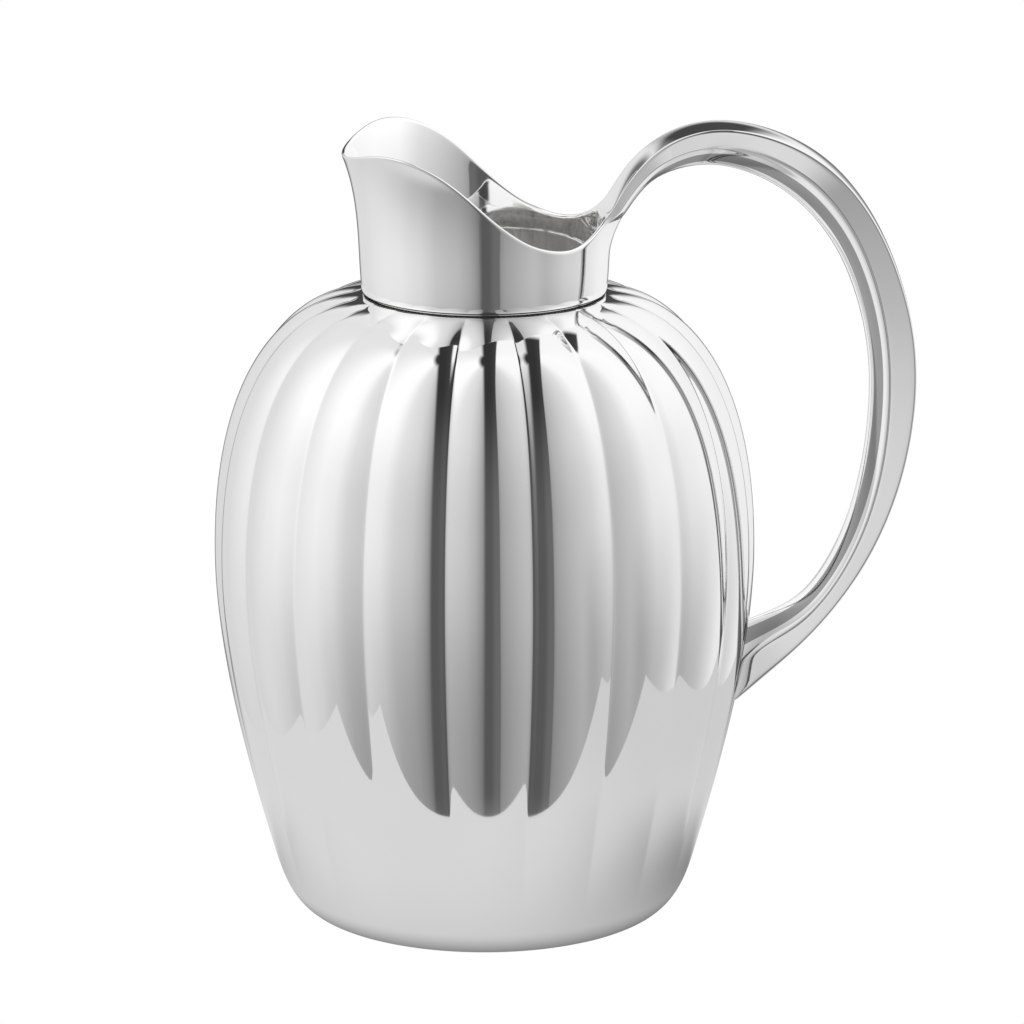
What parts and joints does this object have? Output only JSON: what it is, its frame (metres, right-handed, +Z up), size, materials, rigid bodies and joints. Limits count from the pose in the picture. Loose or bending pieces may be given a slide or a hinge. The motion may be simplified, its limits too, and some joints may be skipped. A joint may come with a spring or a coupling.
{
  "type": "water pitcher",
  "caption": "Silver water pitcher with a lobed round body, a smooth neck with a raised pouring lip, and an open loop handle.",
  "frame": {"origin": "centre of the flat base, on the surface the pitcher stands on", "axes": "+Z up, +X towards the handle, -X towards the pouring lip; the XZ plane is the plane of symmetry"},
  "size_m": [0.1813, 0.14, 0.2072],
  "materials": {
    "body_silver": "mirror-polished silver",
    "base_silver": "satin spun silver",
    "joint_silver": "toned silver in the joint groove",
    "neck_silver": "mirror-polished silver",
    "handle_silver": "mirror-polished silver"
  },
  "bodies": {
    "root": {"body_shell": "body_silver", "base_plate": "base_silver", "neck_joint_ring": "joint_silver", "neck_and_spout": "neck_silver", "handle_outer_strip": "handle_silver", "handle_inner_trough": "handle_silver"}
  },
  "joints": []
}
